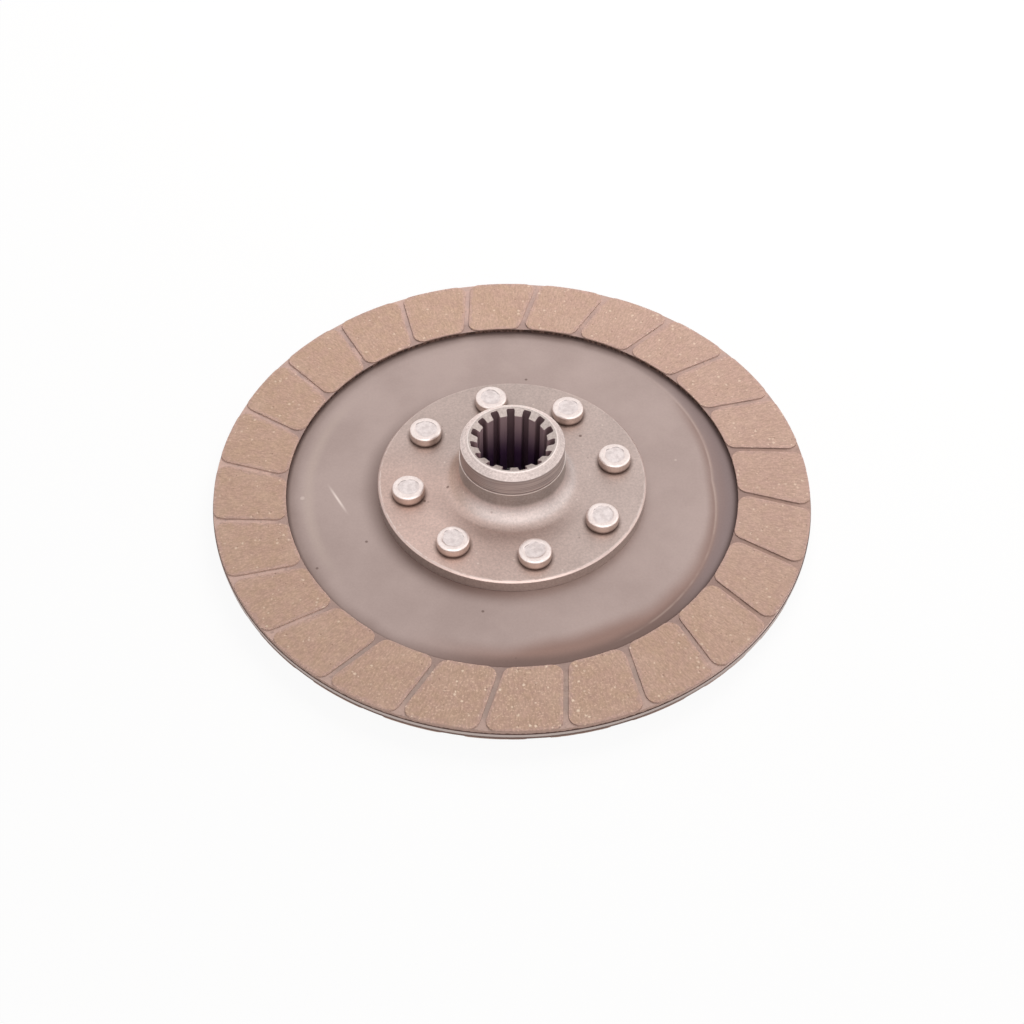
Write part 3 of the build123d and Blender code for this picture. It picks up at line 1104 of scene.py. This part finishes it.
def rivet_finish():
    """Bright pressed steel: a pale rim, a duller hammered middle with painted shade on its dish's far wall,
    and cream sides with a dark foot of painted shade.
    """
    f = Finish("rivet_steel")
    clouds = f.noise(2.6, 3.0, 0.6)
    grain = f.noise(0.6, 3.0, 0.6)
    f.colour = f.mix(f.ramp(clouds, 0.3, 0.7), (240, 224, 219), (250, 236, 231))
    crown_edge = (rivet_head_diameter / 2 - rivet_rim_radius) / mm
    crown = f.ramp(rivet_distance(f), crown_edge + 0.1, crown_edge - 0.1)
    crown = f.both(crown, f.ramp(f.facing_up, 0.2, 0.5))
    sunk = f.both(f.ramp(f.z, rivet_top / mm - 0.15, rivet_top / mm - 0.42), crown)
    hammered = f.mix(f.ramp(clouds, 0.35, 0.65), (221, 209, 207), (240, 229, 227))
    f.stain(sunk, hammered, 0.85)
    # Painted shade on the far wall of the dish, which faces the near side
    dish_wall_shade = f.both(f.band(f.z, rivet_top / mm - 0.3, 0.2), f.ramp(f.facing_far, -0.05, -0.35), crown)
    dish_wall_shade = f.both(dish_wall_shade, f.line(f.ramp(f.noise(2.0, 2.0), 0.4, 0.6), 0.6, 0.3))
    f.stain(dish_wall_shade, (164, 150, 148))
    wall = f.ramp(f.facing_up, 0.6, 0.2)
    f.stain(wall, (195, 180, 171), 0.85)
    above = f.minus(f.z, flange_top / mm)
    # Painted shade at the foot of the head's side, where it meets the flange
    foot = f.both(wall, f.ramp(f.size(above), 1.5, 0.1))
    f.stain(foot, (84, 64, 58), 0.85)
    f.tone(f.ramp(grain, 0.25, 0.75), 0.93, 1.05)
    rough = f.plus(f.line(grain, 0.12, 0.34), f.share(sunk, 0.1))
    relief = f.plus(f.share(grain, 0.4), clouds)
    return f.finished(Metallic=1.0, Roughness=rough, Normal=f.bump(relief, 0.09))


finishes = {
    "hub_steel": hub_finish(),
    "plate_steel": plate_finish(),
    "rivet_steel": rivet_finish(),
    "backing": backing_finish(),
    "friction": friction_finish(),
}


def place_pieces():
    """Make every piece and let it stand for its node."""
    rows = [
        (make_hub(), "hub", "hub_steel"),
        (make_core_plate(), "core_plate", "plate_steel"),
        (make_hub_rivets(), "hub_rivets", "rivet_steel"),
    ]
    for side in ("front", "rear"):
        rear = side == "rear"
        ring = f"{side}_backing_ring"
        rows.append((make_backing_ring(f"{ring}_mesh", rear), ring, "backing"))
        for index in range(pads_per_side):
            pad = f"{side}_pad_{index + 1:02d}"
            angle = pad_first_angle + index * pad_pitch
            rows.append((make_pad(f"{pad}_mesh", angle, rear), pad, "friction"))
    for piece, node, slot in rows:
        dress(piece, node, finishes[slot])


place_pieces()


# Studio

lamp_white = srgb(255, 252, 250)


def seen_directly(tree):
    """1 for rays from the camera and for those that metal mirrors, else 0."""
    path = add_node(tree, "LightPath", {})
    total = path.outputs["Is Camera Ray"]
    for name in ("Is Glossy Ray", "Is Transmission Ray"):
        total = add_node(tree, "Math", {0: total, 1: path.outputs[name]}, operation="MAXIMUM").outputs[0]
    return total


def make_floor():
    """A plain white floor that shows white round the part, keeps its shadow, and stays dark in the bore."""
    size = 6.0
    glow_share = 0.93
    mesh = bpy.data.meshes.new("floor")
    corners = [(-size, -size, 0), (size, -size, 0), (size, size, 0), (-size, size, 0)]
    mesh.from_pydata(corners, [], [(0, 1, 2, 3)])
    material = bpy.data.materials.new("floor")
    material.use_nodes = True
    tree = material.node_tree
    tree.nodes.remove(tree.nodes["Principled BSDF"])
    paint = add_node(tree, "BsdfDiffuse", {"Color": srgb(245, 243, 242)})
    glow = add_node(tree, "Emission", {"Strength": 1.0})
    texture = add_node(tree, "TexCoord", {})
    reach = add_node(tree, "VectorMath", {0: texture.outputs["Object"]}, operation="LENGTH")
    limits = {1: boss_radius, 2: 2 * boss_radius, 3: 0.0, 4: glow_share}
    clear = add_node(tree, "MapRange", {0: reach.outputs["Value"], **limits})
    share = add_node(tree, "Math", {0: seen_directly(tree), 1: clear.outputs[0]}, operation="MULTIPLY")
    blend = add_node(tree, "MixShader", {0: share.outputs[0], 1: paint.outputs[0], 2: glow.outputs[0]})
    put(tree, tree.nodes["Material Output"].inputs["Surface"], blend.outputs[0])
    mesh.materials.append(material)
    floor = add_object("floor", mesh)


def make_world():
    """White to the camera and to metal, and a softer fill on everything else."""
    fill_strength = 0.27
    world = bpy.data.worlds.new("studio")
    world.use_nodes = True
    bpy.context.scene.world = world
    tree = world.node_tree
    fill = tree.nodes["Background"]
    fill.inputs["Color"].default_value = lamp_white
    fill.inputs["Strength"].default_value = fill_strength
    white = add_node(tree, "Background", {"Color": (1.0, 1.0, 1.0, 1.0), "Strength": 1.0})
    blend = add_node(tree, "MixShader", {0: seen_directly(tree), 1: fill.outputs[0], 2: white.outputs[0]})
    put(tree, tree.nodes["World Output"].inputs["Surface"], blend.outputs[0])


def make_lamp(name, place, width, height, energy, mirrored):
    """A soft light aimed at the disc, mirrored by the metal or screened from it."""
    lamp = bpy.data.lights.new(name, "AREA")
    lamp.shape = "RECTANGLE"
    lamp.size = width
    lamp.size_y = height
    lamp.energy = energy
    lamp.color = lamp_white[:3]
    holder = add_object(name, lamp)
    holder.location = place
    holder.rotation_euler = (-Vector(place)).to_track_quat("-Z", "Y").to_euler()
    holder.visible_camera = False
    holder.visible_glossy = mirrored


def make_camera():
    """The photograph's view: down on the disc from the front, with the disc a little above the middle."""
    elevation = radians(48.17)
    distance = 0.726
    roll = radians(0.45)
    lens = bpy.data.cameras.new("camera")
    lens.sensor_width = 36.0
    lens.lens = 67.62
    lens.shift_x = -0.00016
    lens.shift_y = -0.0269
    camera = add_object("camera", lens)
    place = Vector((0, -distance * cos(elevation), pad_face + distance * sin(elevation)))
    camera.matrix_world = (
        Matrix.Translation(place)
        @ Matrix.Rotation(pi / 2 - elevation, 4, "X")
        @ Matrix.Rotation(roll, 4, "Z")
    )
    bpy.context.scene.camera = camera


make_floor()
make_world()
make_lamp("key_soft_light", place=(0.22, 0.64, 0.54), width=0.6, height=0.6, energy=7.6, mirrored=False)
make_lamp("camera_side_soft_light", place=(0.1, -1.0, 0.9), width=2.0, height=0.6, energy=5.8, mirrored=True)
make_lamp("right_soft_light", place=(1.0, 0.15, 0.42), width=0.8, height=0.8, energy=1.1, mirrored=True)
make_camera()
bpy.context.scene.view_settings.view_transform = "Standard"
